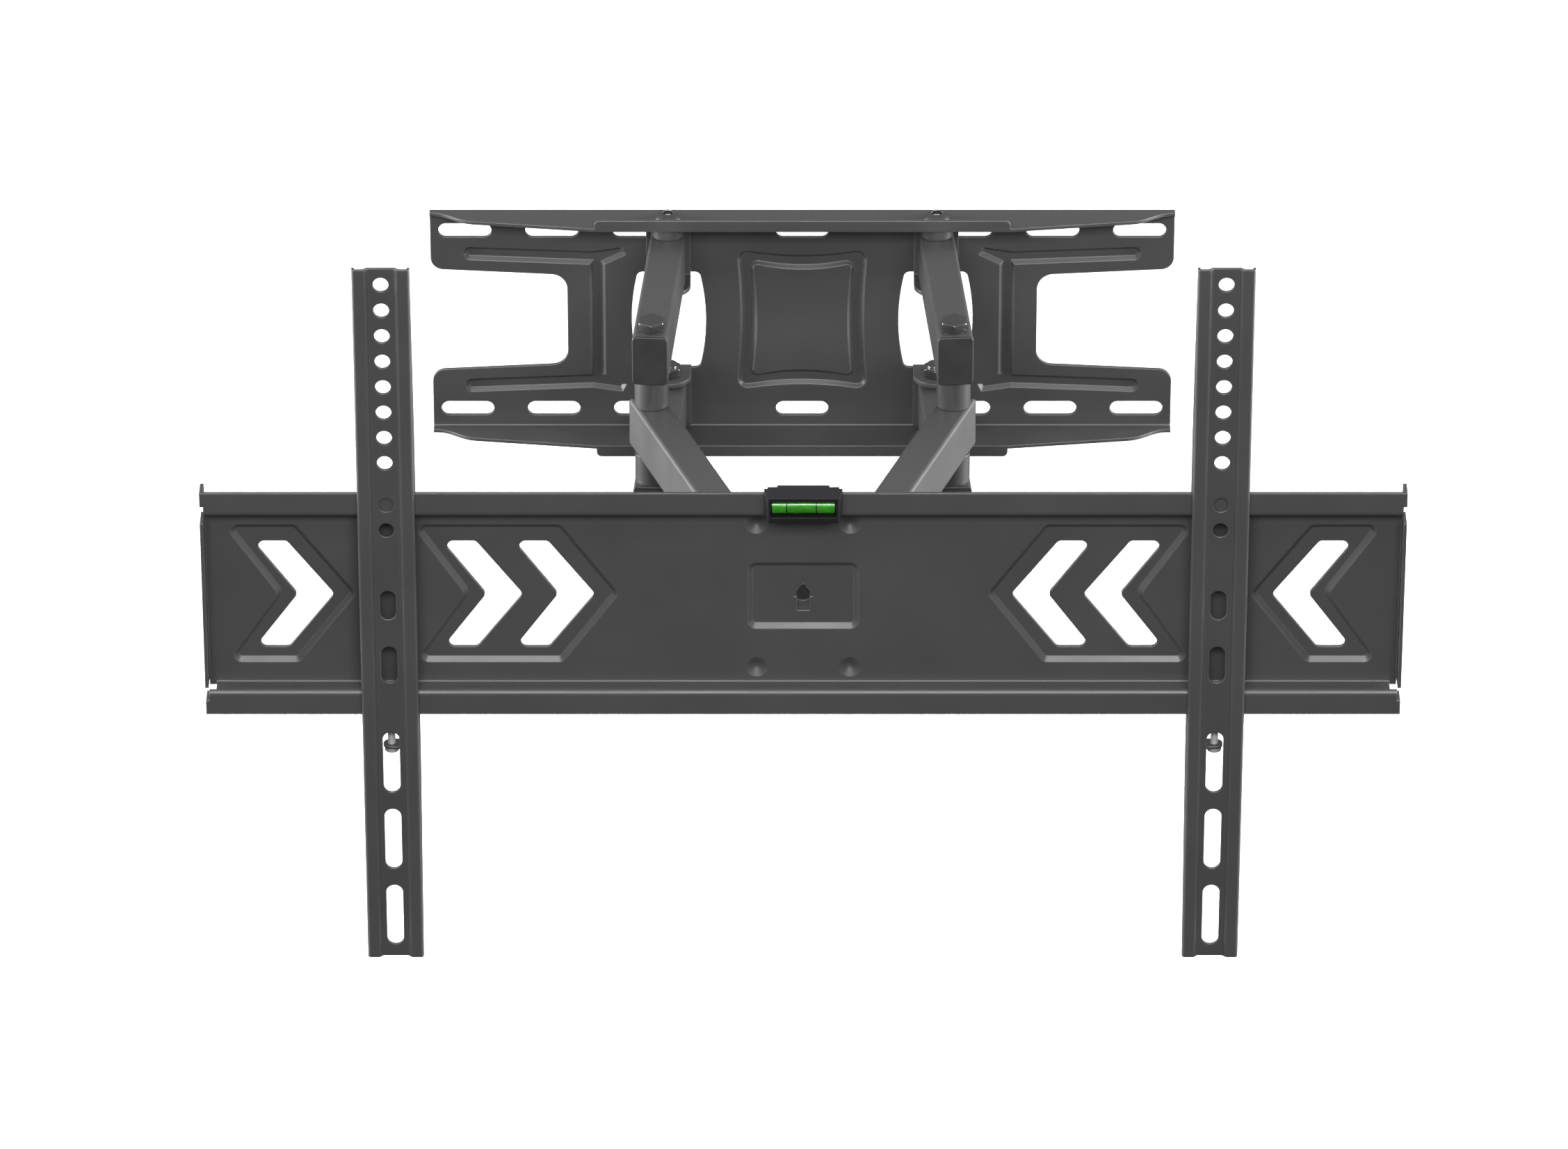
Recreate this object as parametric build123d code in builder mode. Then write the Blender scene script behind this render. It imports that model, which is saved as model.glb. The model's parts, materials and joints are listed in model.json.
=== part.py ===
from build123d import *
from math import cos, radians, sin, tan
import os

# Full motion wall mount for a television: a wall plate, two folding double arms, a yoke with
# swivel, tilt and level joints, a television plate, and two hook-on television brackets.
# The wall is the plane Y = 0 and the television is on the -Y side. Z is up, X is to the right.
# The origin is the middle of the wall plate, on the wall. A depth is a distance from the wall.

# Wall plate, a pressed sheet
wall_width = 428.0
wall_height = 142.6
wall_sheet = 2.0
wall_relief = 2.0  # the pressed channels stand back this far from the web and rest on the wall
flange_reach = 25.0  # from the front of the web
flange_end_reach = 5.0
flange_knee_reach = 15.5
flange_knee_x = 189.0
lip_half_width = 119.0
wall_lip_height = 5.0
notch_depth = 78.5
notch_mouth_half = 33.0
notch_root_half = 29.0
lug_corner = 7.5
notch_corner = 9.5
slot_length = 30.5
slot_width = 9.0
slot_row = 57.8
slot_columns = (0.0, 94.0, 144.0, 194.0)
window_half_height = 31.1
window_flat_half = 17.8
window_bulge_half = 21.4
window_corner = 3.5
channel_half_width = 4.3
channel_outer_x = 195.0
channel_bend_x = 121.0
channel_trunk_x = 118.0
channel_end_z = 43.0
channel_bend_z = 40.0
channel_tip_outer = (104.0, 47.0)
channel_tip_inner = (101.5, 42.0)
channel_tip_corner = 2.2
channel_end_corner = 4.0
ring_half_x = 38.0
ring_half_z = 46.0
ring_pinch_x = 2.4
ring_pinch_z = 4.0
ring_band = 9.5
ring_corner = 6.0
ring_inner_corner = 2.5
press_slope = 48.0  # degrees from square, on the side that is pressed in
back_slope = 35.0
lip_corner = 3.0
sheet_bend = 1.2  # inner radius of the folds in the pressed plates

# Arms, rectangular tube
shoulder_x = 77.0
shoulder_depth = 18.3
rear_length = 118.0
rear_angle = 4.0  # outward from straight ahead, at rest
front_length = 160.0
front_angle = 19.0  # inward from straight ahead, at rest
arm_width = 20.0
arm_height = 30.0
arm_wall = 2.0
arm_edge = 0.4
arm_overhang = 11.0
elbow_gap = 17.6
cap_plate = 2.0
cap_spigot = 2.5
cap_edge = 0.7
cap_gap = 0.1
open_pivot_play = 3.7  # the right front pivot is the open one of the closed linkage

# Pivots and fasteners
pivot_bolt = 8.0
running = 0.05  # radial clearance of a turning fit
play = 0.3  # gap between faces that slide past each other
bush_outer = 12.0
disc_diameter = 19.2
shoulder_disc = 1.6
button_diameter = 16.4
button_height = 5.0
hex_key = 6.0
key_sink = 0.55  # depth of the key hole, as a share of the head's height
dome_rim = 0.12  # the dome's outline, as shares of its width and height
dome_middle = (0.42, 0.62)
dome_flat = 0.24
hex_crown_top = 0.86  # flat of a hexagon's crown, as a share of its corner radius
hex_across = 13.8
hex_height = 5.8
hex_crown = 1.1
nut_across = 13.0
nut_height = 6.4
thread_end = 0.8
bracket_width = 25.6
bracket_plate = 2.5
shoulder_bracket_end = 2.0  # the upright leg stops this far from the flange

# Yoke, swivel, tilt and level
yoke_plate = 3.0
yoke_washer = 1.2
yoke_washer_diameter = 19.0
yoke_eye = 12.0
yoke_post_width = 20.0
yoke_post_depth = 8.0
swivel_offset = 13.0  # the swivel axis, forward of the front pivots
swivel_bolt = 10.0
knuckle_radius = 10.0
tilt_offset = 12.0  # the tilt axis, forward of the swivel axis
tilt_barrel = 8.0
tilt_half_width = 13.5
cheek_plate = 3.0
cheek_eye = 9.0
cheek_root_half = 17.0
tilt_base_half_x = 30.0
tilt_base_half_z = 39.0
tilt_base_plate = 2.5
tilt_base_gap = 1.7
level_gap = 0.4
level_pin = 10.0
level_washer = 1.0
level_washer_diameter = 15.0
level_stud = 6.0
level_stud_z = 31.0
level_slot_travel = 3.6
level_nut_across = 10.0
level_nut_height = 5.0
hub_plate_thickness = 2.6
hub_half_x = 38.0
hub_half_z = 51.5

# Television plate, a pressed sheet
tv_width = 656.4
tv_half_height = 69.0
tv_lip_height = 15.0
tv_sheet = 2.0
tv_relief = 2.2
tv_press_slope = 52.0
tv_lip_reach = 10.0  # front of the web to the front of the lips
tv_flange_reach = 12.0
tv_tab_height = 8.5
tv_tab_corner = 2.0
tv_tab_reach = 13.0
tv_flange_half = 51.3
tv_flange_gap = 1.9
chevron_half_height = 33.2
chevron_columns = (280.0, 176.8, 137.4)
chevron_tip = 23.5
chevron_notch = 3.3
chevron_heel = 20.8
chevron_toe = 2.0
chevron_corner = 3.4
outer_frame_shape = (36.4, -3.4, 35.8, -7.5)  # heel, toe, tip and notch, from its column
inner_frame_shape = (56.6, -25.1, 56.5, -28.0)
frame_half_height = 43.1
frame_rise = 1.4  # the pressed frames sit this far above the middle
frame_corner = 4.5
recess_width = 60.8
recess_height = 41.4
recess_corner = 4.7
arrow_width = 11.0
arrow_stem = 6.8
arrow_head = 8.5
arrow_top = 6.9
arrow_bottom = 10.3
dimple_x = 25.6
dimple_z = 44.7
dimple_radius = 6.1
dimple_slope = 66.0

# Bubble level on the top lip
level_width = 42.6
level_front_width = 38.6
level_reach = 11.4
level_top = 3.0  # above the lip
level_clip_width = 28.4
level_step_width = 39.0
level_clip_back = 4.0
level_height = 15.0
vial_radius = 4.5
vial_length = 34.0
vial_window_width = 35.4
vial_window_height = 9.8
vial_drop = 7.0
vial_set_back = 5.6
bubble_half_length = 5.6
bubble_radius = 2.6
bubble_drop = 0.4  # below the top of the tube
ring_spacing = 16.1
vial_shift = -1.0  # the vial marks sit this far off the middle
bubble_x = 1.6
ring_thickness = 0.35
ring_proud = 0.25
ring_length = 0.6

# Television brackets
bracket_centre = 226.8
tv_bracket_width = 31.2
tv_bracket_length = 430.0
tv_bracket_drop = 8.0  # the brackets hang this far below the middle
tv_bracket_sheet = 1.5
rib_width = 6.4
rib_step = 2.0
hook_depth = 19.0
hook_top = 100.0
hook_finger = 10.5
hook_start = 4.0  # the hook walls stop this far from the bracket's ends
hook_cut = 4.0  # corner cut off the hook's finger
hook_gap = 0.4
hook_low_gap = 2.0  # from the bottom lip to the lower wall
hook_low_top = 76.0
hook_low_bottom = 106.0
hole_diameter = 8.5
hole_pitch = 15.5
hole_count = 8
hole_start = 9.8  # below the top end
pair_start = 144.2
slot_a = (206.5, 8.9, 18.0)  # below the top end, width, length
slot_b = (243.8, 8.9, 22.8)
long_slot_start = 305.6
long_slot_pitch = 48.9
long_slot_length = 38.3
long_slot_width = 9.2
lug_z = -90.5
lug_width = 9.2
screw_diameter = 4.2
screw_head = 8.0
screw_head_height = 3.0
screw_tip_z = -61.0
screw_point = 0.6
cross_length = 4.2
cross_width = 1.0
cross_sink = 1.4

# Worked out from the values above
web_front = wall_relief + wall_sheet
wall_top = wall_height / 2
flange_under = wall_top - wall_sheet
flange_front = web_front + flange_reach
rear_arm_z = arm_height + elbow_gap
arm_half = arm_height / 2
elbow_x = shoulder_x + rear_length * sin(radians(rear_angle))
elbow_depth = shoulder_depth + rear_length * cos(radians(rear_angle))
front_pivot_x = elbow_x - front_length * sin(radians(front_angle))
front_pivot_depth = elbow_depth + front_length * cos(radians(front_angle))
swivel_depth = front_pivot_depth + swivel_offset
tilt_depth = swivel_depth + tilt_offset
base_rear = tilt_depth + tilt_barrel + tilt_base_gap
base_front = base_rear + tilt_base_plate
hub_rear = base_front + level_gap
hub_front = hub_rear + hub_plate_thickness
tv_rear = hub_front + tv_relief
tv_front = tv_rear + tv_sheet
tv_lip_front = tv_front + tv_lip_reach
tv_lip_rear = tv_lip_front - tv_sheet
shelf_under = tv_half_height - tv_lip_height
yoke_inner = arm_half + yoke_washer + play
yoke_outer = yoke_inner + yoke_plate
sides = {"left": -1, "right": 1}


def above(z, x=0, depth=0):
    # plane at height z, seen from above: X to the right, Y away from the viewer
    return Plane(origin=(x, -depth, z), x_dir=(1, 0, 0), z_dir=(0, 0, 1))


def below(z, x=0, depth=0):
    # plane at height z, seen from below: its y is depth, and it extrudes downwards
    return Plane(origin=(x, -depth, z), x_dir=(1, 0, 0), z_dir=(0, 0, -1))


def facing(depth, x=0, z=0):
    # upright plane, parallel to the wall: x to the right, y up, and it extrudes off the wall
    return Plane(origin=(x, -depth, z), x_dir=(1, 0, 0), z_dir=(0, -1, 0))


def profile_plane(x):
    # upright plane square to the wall: its x is depth, its y is height
    return Plane(origin=(x, 0, 0), x_dir=(0, -1, 0), z_dir=(-1, 0, 0))


def across(x, depth, z):
    # plane square to X, for pieces that lie along X
    return Plane(origin=(x, -depth, z), x_dir=(0, -1, 0), z_dir=(1, 0, 0))


def facing_left(x, depth, z):
    # plane square to X that extrudes towards -X
    return Plane(origin=(x, -depth, z), x_dir=(0, -1, 0), z_dir=(-1, 0, 0))


def disc(plane, radius, height, mode=Mode.ADD):
    with BuildSketch(plane) as face:
        Circle(radius)
    extrude(face.sketch, amount=height, mode=mode)


def ring(plane, radius, hole, height):
    with BuildSketch(plane) as face:
        Circle(radius)
        Circle(hole, mode=Mode.SUBTRACT)
    extrude(face.sketch, amount=height)


def hexagon(plane, wide, height, hole=0.0, turn=0.0):
    # a nut or a bolt head, with its outer corners turned off
    corner = wide / 2 / cos(radians(30))
    with BuildPart(mode=Mode.PRIVATE) as piece:
        with BuildSketch():
            RegularPolygon(wide / 2, 6, major_radius=False, rotation=turn)
            if hole:
                Circle(hole, mode=Mode.SUBTRACT)
        extrude(amount=height)
        with BuildSketch(Plane.XZ) as turned:
            with BuildLine():
                Polyline(
                    (0, 0),
                    (corner, 0),
                    (corner, height - hex_crown),
                    (corner * hex_crown_top, height),
                    (0, height),
                    close=True,
                )
            make_face()
        revolve(turned.sketch, axis=Axis.Z, mode=Mode.INTERSECT)
    add(plane.location * piece.part)


def button_head(plane, wide, height, key):
    # a low dome with a hexagon socket
    with BuildPart(mode=Mode.PRIVATE) as head:
        with BuildSketch(Plane.XZ):
            with BuildLine():
                Line((0, 0), (wide / 2, 0))
                Line((wide / 2, 0), (wide / 2, height * dome_rim))
                ThreePointArc(
                    (wide / 2, height * dome_rim),
                    (wide * dome_middle[0], height * dome_middle[1]),
                    (wide * dome_flat, height),
                )
                Line((wide * dome_flat, height), (0, height))
                Line((0, height), (0, 0))
            make_face()
        revolve(axis=Axis.Z)
        with BuildSketch(Plane.XY.offset(height)):
            RegularPolygon(key / 2, 6, major_radius=False)
        extrude(amount=-height * key_sink, mode=Mode.SUBTRACT)
    add(plane.location * head.part)


def finish_part(piece, name):
    piece.part.label = name
    export_step(piece.part, f"parts/{name}.step")
    print(name, len(piece.part.solids()), round(piece.part.volume))


os.makedirs("parts", exist_ok=True)

# Wall plate: web with slots, side notches and arm windows, flanges with lips, pressed channels

with BuildSketch() as window_shape:
    with BuildLine():
        right = ThreePointArc(
            (window_flat_half, window_half_height),
            (window_bulge_half, 0),
            (window_flat_half, -window_half_height),
        )
        left = ThreePointArc(
            (-window_flat_half, -window_half_height),
            (-window_bulge_half, 0),
            (-window_flat_half, window_half_height),
        )
        Line(right @ 1, left @ 0)
        Line(left @ 1, right @ 0)
    make_face()
    fillet(window_shape.vertices(), window_corner)

with BuildSketch() as channel_shape:
    with BuildLine():
        inner_trunk = channel_trunk_x + channel_half_width
        outer_trunk = channel_trunk_x - channel_half_width
        half_outline = Polyline(
            (inner_trunk, 0),
            (inner_trunk, channel_bend_z - channel_half_width),
            (channel_outer_x, channel_end_z - channel_half_width),
            (channel_outer_x, channel_end_z + channel_half_width),
            (channel_bend_x, channel_bend_z + channel_half_width),
            channel_tip_outer,
            channel_tip_inner,
            (outer_trunk, channel_bend_z - channel_half_width),
            (outer_trunk, 0),
        )
        mirror(half_outline, about=Plane.XZ)
    make_face()
    ends = channel_shape.vertices().filter_by_position(
        Axis.X, channel_outer_x - 1, channel_outer_x + 1
    )
    tips = channel_shape.vertices().filter_by_position(
        Axis.X, channel_tip_inner[0] - 1, channel_tip_outer[0] + 1
    )
    fillet(ends, channel_end_corner)
    fillet(tips, channel_tip_corner)


def pinched_box(half_x, half_z, corner):
    # a box whose four sides bow inwards
    with BuildSketch() as box:
        with BuildLine():
            top = ThreePointArc(
                (-half_x, half_z), (0, half_z - ring_pinch_z), (half_x, half_z)
            )
            side = ThreePointArc(
                (half_x, half_z), (half_x - ring_pinch_x, 0), (half_x, -half_z)
            )
            mirror(top, about=Plane.XZ)
            mirror(side, about=Plane.YZ)
        make_face()
        fillet(box.vertices(), corner)
    return box.sketch


def pinched_block(wide_at, deep_at, half_x, half_z, corner, draw):
    """A pinched box from one depth to another, drawn in by draw on the way."""
    with BuildPart() as block:
        with BuildSketch(facing(wide_at)):
            add(pinched_box(half_x, half_z, corner))
        with BuildSketch(facing(deep_at)):
            add(pinched_box(half_x - draw, half_z - draw, corner - draw))
        loft()
    return block.part


def pressed_ring(wide_at, deep_at, slope):
    """The ring pressed round the middle panel, its walls leaning by slope degrees."""
    draw = (wide_at - deep_at) * tan(radians(slope))
    island_x = ring_half_x - ring_band
    island_z = ring_half_z - ring_band
    with BuildPart() as ring:
        add(pinched_block(wide_at, deep_at, ring_half_x, ring_half_z, ring_corner, draw))
        add(
            pinched_block(wide_at, deep_at, island_x, island_z, ring_inner_corner, -draw),
            mode=Mode.SUBTRACT,
        )
    return ring.part


# one flange with its lip; the flange tapers towards its ends
with BuildPart() as upper_flange:
    with BuildSketch(below(wall_top)) as flange:
        with BuildLine():
            front_edge = Line((0, flange_front), (lip_half_width, flange_front))
            slope = Line(
                front_edge @ 1, (flange_knee_x, web_front + flange_knee_reach)
            )
            end = Spline(
                slope @ 1,
                (wall_width / 2, web_front + flange_end_reach),
                tangents=[slope % 1, (1, 0.1)],
            )
            Line(end @ 1, (wall_width / 2, wall_relief))
            Line((wall_width / 2, wall_relief), (0, wall_relief))
            Line((0, wall_relief), (0, flange_front))
        make_face()
        mirror(about=Plane.YZ)
    extrude(flange.sketch, amount=wall_sheet)
    with BuildSketch(facing(flange_front - wall_sheet)) as lip:
        with Locations((0, flange_under)):
            Rectangle(
                2 * lip_half_width,
                wall_sheet + wall_lip_height,
                align=(Align.CENTER, Align.MIN),
            )
        fillet(lip.vertices().group_by(Axis.Y)[-1], lip_corner)
    extrude(lip.sketch, amount=wall_sheet)

with BuildPart() as wall_plate:
    with BuildSketch(facing(wall_relief)):
        Rectangle(wall_width, wall_height)
        for side in sides.values():
            root = side * (wall_width / 2 - notch_depth)
            mouth = side * (wall_width / 2 + 1)
            with BuildLine():
                Polyline(
                    (root, notch_root_half),
                    (mouth, notch_mouth_half),
                    (mouth, -notch_mouth_half),
                    (root, -notch_root_half),
                    close=True,
                )
            make_face(mode=Mode.SUBTRACT)
    extrude(amount=wall_sheet)
    lugs = (
        wall_plate.edges()
        .filter_by(Axis.Y)
        .filter_by_position(Axis.Z, -notch_mouth_half - 1, notch_mouth_half + 1)
    )
    fillet(lugs.filter_by(lambda e: abs(e.center().X) > wall_width / 2 - 1), lug_corner)
    roots = (
        wall_plate.edges()
        .filter_by(Axis.Y)
        .filter_by_position(Axis.Z, -notch_root_half - 1, notch_root_half + 1)
    )
    fillet(roots, notch_corner)
    # pressed channels: the recess in front, and its back, which rests on the wall
    with BuildSketch(facing(wall_relief)) as pressed_backs:
        add(channel_shape.sketch)
        mirror(about=Plane.YZ)
    extrude(pressed_backs.sketch, amount=-wall_relief, taper=back_slope)
    with BuildSketch(facing(web_front)) as pressed_fronts:
        add(channel_shape.sketch)
        mirror(about=Plane.YZ)
    extrude(pressed_fronts.sketch, amount=-wall_relief, taper=press_slope, mode=Mode.SUBTRACT)
    add(pressed_ring(wall_relief, 0, back_slope))
    add(pressed_ring(web_front, wall_sheet, press_slope), mode=Mode.SUBTRACT)
    with BuildSketch(facing(0)) as openings:
        for side in sides.values():
            with Locations((side * shoulder_x, 0)):
                add(window_shape.sketch)
        for x in slot_columns:
            for z in (-slot_row, slot_row):
                with Locations(*{(x, z), (-x, z)}):
                    SlotOverall(slot_length, slot_width)
    extrude(openings.sketch, amount=web_front, mode=Mode.SUBTRACT)
    add(upper_flange.part)
    mirror(upper_flange.part, about=Plane.XY)
    long_edges = wall_plate.edges().filter_by(Axis.X)
    outer_bends = long_edges.filter_by(
        lambda e: abs(abs(e.center().Z) - wall_top) < 0.01
        and abs(e.center().Y + wall_relief) < 0.01
    )
    inner_bends = long_edges.filter_by(
        lambda e: abs(abs(e.center().Z) - flange_under) < 0.01
        and abs(e.center().Y + web_front) < 0.01
    )
    fillet(outer_bends, sheet_bend + wall_sheet)
    fillet(inner_bends, sheet_bend)
    for side in sides.values():
        for z in (-wall_top, wall_top):
            down = -1 if z > 0 else 1
            with BuildSketch(above(z + down * 5, side * shoulder_x, shoulder_depth)) as hole:
                Circle(pivot_bolt / 2)
            extrude(hole.sketch, amount=-down * 10, mode=Mode.SUBTRACT)
finish_part(wall_plate, "wall_plate")

# Shoulder brackets: an angle that carries the inner end of each shoulder bolt

inner_leg_z = rear_arm_z - arm_half - shoulder_disc - play
leg_top_z = flange_under - shoulder_bracket_end
for side_name, side in sides.items():
    for level_name, up in {"upper": 1, "lower": -1}.items():
        with BuildPart() as shoulder_bracket:
            with BuildSketch(below(inner_leg_z, side * shoulder_x)) as leg:
                Rectangle(
                    bracket_width,
                    shoulder_depth - web_front,
                    align=(Align.CENTER, Align.MAX),
                )
                Circle(bracket_width / 2)
                Circle(pivot_bolt / 2, mode=Mode.SUBTRACT)
            leg_shape = leg.sketch.moved(Location((0, -shoulder_depth, 0)))
            extrude(leg_shape, amount=bracket_plate, dir=(0, 0, -1))
            with BuildSketch(facing(web_front, side * shoulder_x)) as upright:
                with Locations((0, inner_leg_z - bracket_plate)):
                    Rectangle(
                        bracket_width,
                        leg_top_z - inner_leg_z + bracket_plate,
                        align=(Align.CENTER, Align.MIN),
                    )
            extrude(upright.sketch, amount=bracket_plate)
            corner = shoulder_bracket.edges().filter_by(Axis.X).sort_by(Axis.Z)
            bend = corner.filter_by(
                lambda e: abs(e.center().Y + web_front) < 0.01
                and abs(e.center().Z - inner_leg_z + bracket_plate) < 0.01
            )
            fillet(bend, bracket_plate)
            if up < 0:
                mirror(about=Plane.XY, mode=Mode.REPLACE)
        finish_part(shoulder_bracket, f"shoulder_bracket_{level_name}_{side_name}")

# Shoulder fasteners, one set at each end of each shoulder: a button-head bolt through the flange,
# a spacer disc on each side of the arm, and a nut on the shoulder bracket

bolt_length = wall_top - inner_leg_z + bracket_plate + nut_height + thread_end
with BuildPart() as shoulder_bolts:
    for side in sides.values():
        x = side * shoulder_x
        button_head(above(wall_top, x, shoulder_depth), button_diameter, button_height, hex_key)
        disc(below(wall_top, x, shoulder_depth), pivot_bolt / 2, bolt_length)
    mirror(about=Plane.XY)
finish_part(shoulder_bolts, "shoulder_bolts")

with BuildPart() as shoulder_discs:
    for side in sides.values():
        for top in (flange_under, rear_arm_z - arm_half - play):
            height = shoulder_disc
            if top == flange_under:
                height = flange_under - rear_arm_z - arm_half - play
            seat = below(top, side * shoulder_x, shoulder_depth)
            ring(seat, disc_diameter / 2, pivot_bolt / 2, height)
    mirror(about=Plane.XY)
finish_part(shoulder_discs, "shoulder_discs")

with BuildPart() as shoulder_nuts:
    for side in sides.values():
        seat = below(inner_leg_z - bracket_plate, side * shoulder_x, shoulder_depth)
        hexagon(seat, nut_across, nut_height, pivot_bolt / 2, 30)
    mirror(about=Plane.XY)
finish_part(shoulder_nuts, "shoulder_nuts")


# Arms: rectangular tubes. Each is made along its own x, with its rear pivot at the plane's origin

def arm_plane(x, depth, z, heading):
    # heading is the angle from straight ahead, positive towards +X
    ahead = (sin(radians(heading)), -cos(radians(heading)), 0)
    return Plane(origin=(x, -depth, z), x_dir=ahead, z_dir=(0, 0, 1))


def tube_arm(plane, length, start, stop, round_start, round_stop, holes):
    # start and stop are how far the tube runs past its pivots; holes are (distance, radius)
    half = arm_width / 2
    bore_half = half - arm_wall
    with BuildPart(mode=Mode.PRIVATE) as tube:
        with BuildSketch(Plane.YZ.offset(-start)):
            RectangleRounded(arm_width, arm_height, arm_edge + arm_wall)
            RectangleRounded(
                2 * bore_half, arm_height - 2 * arm_wall, arm_edge, mode=Mode.SUBTRACT
            )
        extrude(amount=length + start + stop)
        for is_round, at in ((round_start, 0), (round_stop, length)):
            if is_round:
                outward = -1 if at == 0 else 1
                with BuildSketch(Plane.XY.offset(-arm_height)) as corner:
                    with Locations((at + outward * half, 0)):
                        Rectangle(arm_width, 2 * arm_width)
                    with Locations((at, 0)):
                        Circle(half, mode=Mode.SUBTRACT)
                    with Locations((at - outward * half, 0)):
                        Rectangle(arm_width, 2 * arm_width, mode=Mode.SUBTRACT)
                extrude(corner.sketch, amount=2 * arm_height, mode=Mode.SUBTRACT)
        for at, radius in holes:
            disc(Plane(origin=(at, 0, -arm_height)), radius, 2 * arm_height, Mode.SUBTRACT)
    return plane.location * tube.part


def end_cap(plane, at, outward):
    # closes a square tube end flush: a plate as large as the tube, and a spigot inside it
    with BuildPart(mode=Mode.PRIVATE) as cap:
        with BuildSketch(Plane.YZ.offset(at)):
            RectangleRounded(arm_width, arm_height, arm_edge + arm_wall)
        extrude(amount=outward * cap_plate)
        fillet(cap.edges().group_by(Axis.X)[-1 if outward > 0 else 0], cap_edge)
        with BuildSketch(Plane.YZ.offset(at)):
            RectangleRounded(
                arm_width - 2 * arm_wall - cap_gap, arm_height - 2 * arm_wall - cap_gap, arm_edge
            )
        extrude(amount=-outward * cap_spigot)
    return plane.location * cap.part


def sleeve(plane, at, height):
    # a bush inside an arm, from one face of the tube to the other
    with BuildPart(mode=Mode.PRIVATE) as bush:
        ring(Plane(origin=(at, 0, -height / 2)), bush_outer / 2, pivot_bolt / 2 + running, height)
    return plane.location * bush.part


square_end = arm_overhang - cap_plate
for side_name, side in sides.items():
    rear_heading = side * rear_angle
    front_heading = -side * front_angle
    for level_name, z in {"upper": rear_arm_z, "lower": -rear_arm_z}.items():
        place = arm_plane(side * shoulder_x, shoulder_depth, z, rear_heading)
        holes = ((0, bush_outer / 2), (rear_length, pivot_bolt / 2))
        with BuildPart() as rear_arm:
            add(tube_arm(place, rear_length, arm_width / 2, square_end, True, False, holes))
        finish_part(rear_arm, f"rear_arm_{level_name}_{side_name}")
    place = arm_plane(elbow_x * side, elbow_depth, 0, front_heading)
    front_end_hole = bush_outer / 2
    if side_name == "right":
        front_end_hole = pivot_bolt / 2 + open_pivot_play
    holes = ((0, bush_outer / 2), (front_length, front_end_hole))
    with BuildPart() as front_arm:
        add(tube_arm(place, front_length, square_end, arm_width / 2, False, True, holes))
    finish_part(front_arm, f"front_arm_{side_name}")

    with BuildPart() as rear_caps:
        for z in (rear_arm_z, -rear_arm_z):
            rear_place = arm_plane(side * shoulder_x, shoulder_depth, z, rear_heading)
            add(end_cap(rear_place, rear_length + square_end, 1))
    finish_part(rear_caps, f"rear_arm_caps_{side_name}")
    with BuildPart() as front_cap:
        add(end_cap(place, -square_end, -1))
    finish_part(front_cap, f"front_arm_cap_{side_name}")

    with BuildPart() as rear_bushes:
        for z in (rear_arm_z, -rear_arm_z):
            rear_place = arm_plane(side * shoulder_x, shoulder_depth, z, rear_heading)
            add(sleeve(rear_place, 0, arm_height))
    finish_part(rear_bushes, f"shoulder_bushes_{side_name}")
    with BuildPart() as front_bushes:
        add(sleeve(place, 0, arm_height))
        if side_name == "left":
            add(sleeve(place, front_length, arm_height))
    finish_part(front_bushes, f"front_arm_bushes_{side_name}")

    # elbow: one long bolt down through both rear arms, with a spacer above and below the front arm
    elbow = (elbow_x * side, elbow_depth)
    arm_top = rear_arm_z + arm_half
    with BuildPart() as elbow_bolt:
        hexagon(above(arm_top, *elbow), hex_across, hex_height, turn=30)
        disc(below(arm_top, *elbow), pivot_bolt / 2, 2 * arm_top + nut_height + thread_end)
    finish_part(elbow_bolt, f"elbow_bolt_{side_name}")
    with BuildPart() as elbow_nut:
        hexagon(below(-arm_top, *elbow), nut_across, nut_height, pivot_bolt / 2, 30)
    finish_part(elbow_nut, f"elbow_nut_{side_name}")
    with BuildPart() as elbow_spacers:
        seat = below(arm_top - arm_height, *elbow)
        ring(seat, disc_diameter / 2, pivot_bolt / 2, elbow_gap - play)
        mirror(about=Plane.XY)
    finish_part(elbow_spacers, f"elbow_spacers_{side_name}")

# Yoke: two eye plates joined by a post behind the swivel, with the front pivot bolts

front_pivots = [(-front_pivot_x, front_pivot_depth), (front_pivot_x, front_pivot_depth)]
yoke_rear = front_pivot_depth - yoke_eye
with BuildPart() as yoke:
    with BuildSketch(below(yoke_outer)) as eye_plate:
        with Locations(*front_pivots, (0, swivel_depth)):
            Circle(yoke_eye)
        make_hull()
        with Locations(*front_pivots):
            Circle(pivot_bolt / 2, mode=Mode.SUBTRACT)
        with Locations((0, swivel_depth)):
            Circle(swivel_bolt / 2, mode=Mode.SUBTRACT)
    extrude(eye_plate.sketch, amount=yoke_plate)
    lower_eye = eye_plate.sketch.moved(Location((0, 0, -yoke_outer - yoke_inner)))
    extrude(lower_eye, amount=yoke_plate, dir=(0, 0, -1))
    with BuildSketch(below(yoke_inner)) as post:
        with Locations((0, yoke_rear)):
            Rectangle(yoke_post_width, yoke_post_depth, align=(Align.CENTER, Align.MIN))
    extrude(post.sketch, amount=2 * yoke_inner)
finish_part(yoke, "yoke")

with BuildPart() as front_pivot_bolts:
    for x, depth in front_pivots:
        hexagon(above(yoke_outer, x, depth), nut_across, hex_height)
        disc(below(yoke_outer, x, depth), pivot_bolt / 2, 2 * yoke_outer + nut_height + thread_end)
finish_part(front_pivot_bolts, "front_pivot_bolts")

with BuildPart() as front_pivot_nuts:
    for x, depth in front_pivots:
        hexagon(below(-yoke_outer, x, depth), nut_across, nut_height, pivot_bolt / 2)
finish_part(front_pivot_nuts, "front_pivot_nuts")

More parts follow.
